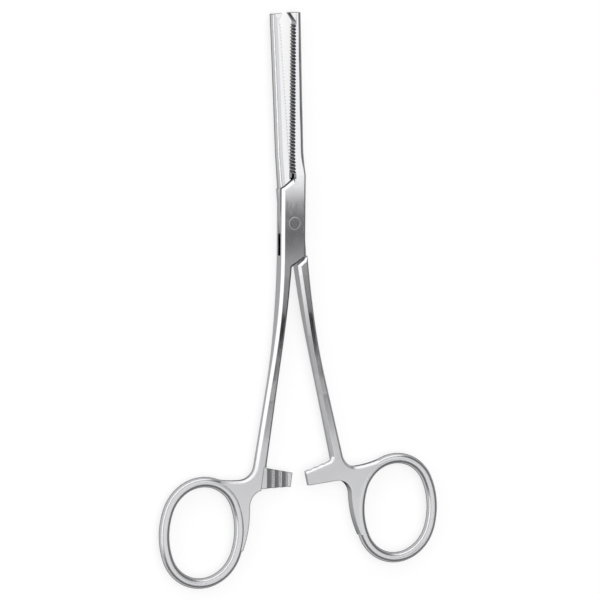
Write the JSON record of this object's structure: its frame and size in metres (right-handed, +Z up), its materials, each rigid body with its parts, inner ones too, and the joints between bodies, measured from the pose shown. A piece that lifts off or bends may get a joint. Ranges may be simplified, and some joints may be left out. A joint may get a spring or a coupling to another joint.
{
  "type": "hemostat forceps",
  "caption": "Straight locking artery forceps with a box lock, cross-grooved jaws ending in interlocking teeth, a ratchet between the shanks and a finger ring on each.",
  "frame": {"origin": "on the pivot pin's axis, in the plane of the lock's underside, on which the forceps lies", "axes": "+Y from the pivot to the jaw tips, +Z up through the thickness, +X to the slotted half's jaw"},
  "size_m": [0.0884, 0.1601, 0.0043],
  "materials": {
    "forged_steel": "satin, with polished bevels and lock face",
    "pin_steel": "ground flush and polished"
  },
  "bodies": {
    "slotted": {"female_half": "forged_steel", "pivot_pin": "pin_steel"},
    "tongued": {"male_half": "forged_steel"}
  },
  "joints": [
    {"name": "lock_pivot", "type": "hinge", "parent": "slotted", "child": "tongued", "pos_m": [0, 0, 0.00215], "axis": [0, 0, 1], "range_deg": [-4.6, 55]}
  ]
}
